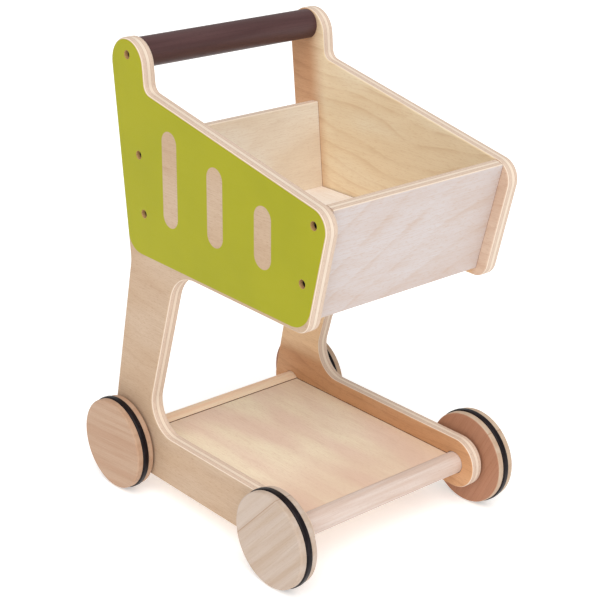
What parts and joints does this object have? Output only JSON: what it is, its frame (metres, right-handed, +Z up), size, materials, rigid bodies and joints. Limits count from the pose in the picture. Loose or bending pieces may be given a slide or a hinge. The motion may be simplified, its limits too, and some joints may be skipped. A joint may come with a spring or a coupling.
{
  "type": "toy shopping cart",
  "caption": "Child's push-along wooden shopping cart: plywood side panels, open basket, turned push handle, lower tray and rubber-ringed wooden wheels",
  "frame": {"origin": "on the floor, at the middle of the cart's bounding box", "axes": "+X forward, the way the cart is pushed, basket front first; +Y the cart's left; +Z up"},
  "size_m": [0.3756, 0.297, 0.5025],
  "materials": {
    "painted_plywood": "birch plywood, oiled, with a satin lime-green painted outer face",
    "board_wood": "pale birch plywood, sanded and matt oiled",
    "handle_wood": "dark brown satin stained turned hardwood",
    "bar_wood": "pale turned hardwood, matt",
    "wheel_wood": "pale turned hardwood, matt",
    "ring_rubber": "black satin rubber",
    "steel": "drawn bright steel",
    "dark_steel": "black oxide bolts",
    "brass": "turned brass",
    "bush_plastic": "natural nylon"
  },
  "bodies": {
    "frame": {"side_panel_right": "painted_plywood", "side_panel_left": "painted_plywood", "handle": "handle_wood", "rear_board": "board_wood", "front_board": "board_wood", "basket_floor": "board_wood", "tray": "board_wood", "rear_bar": "bar_wood", "front_bar": "bar_wood", "axle_bushes": "bush_plastic", "handle_bolts": "dark_steel", "rear_board_bolts": "dark_steel", "front_board_bolts": "dark_steel", "handle_inserts": "brass", "rear_board_inserts": "brass", "front_board_inserts": "brass"},
    "rear_wheelset": {"rear_axle": "steel", "rear_washers": "steel", "wheel_rear_right": "wheel_wood", "rubber_ring_rear_right": "ring_rubber", "wheel_rear_left": "wheel_wood", "rubber_ring_rear_left": "ring_rubber"},
    "front_wheelset": {"front_axle": "steel", "front_washers": "steel", "wheel_front_right": "wheel_wood", "rubber_ring_front_right": "ring_rubber", "wheel_front_left": "wheel_wood", "rubber_ring_front_left": "ring_rubber"}
  },
  "joints": [
    {"name": "rear_wheels_roll", "type": "hinge", "parent": "frame", "child": "rear_wheelset", "pos_m": [-0.135, 0, 0.052], "axis": [0, 1, 0], "continuous": true},
    {"name": "front_wheels_roll", "type": "hinge", "parent": "frame", "child": "front_wheelset", "pos_m": [0.135, 0, 0.052], "axis": [0, 1, 0], "continuous": true}
  ]
}
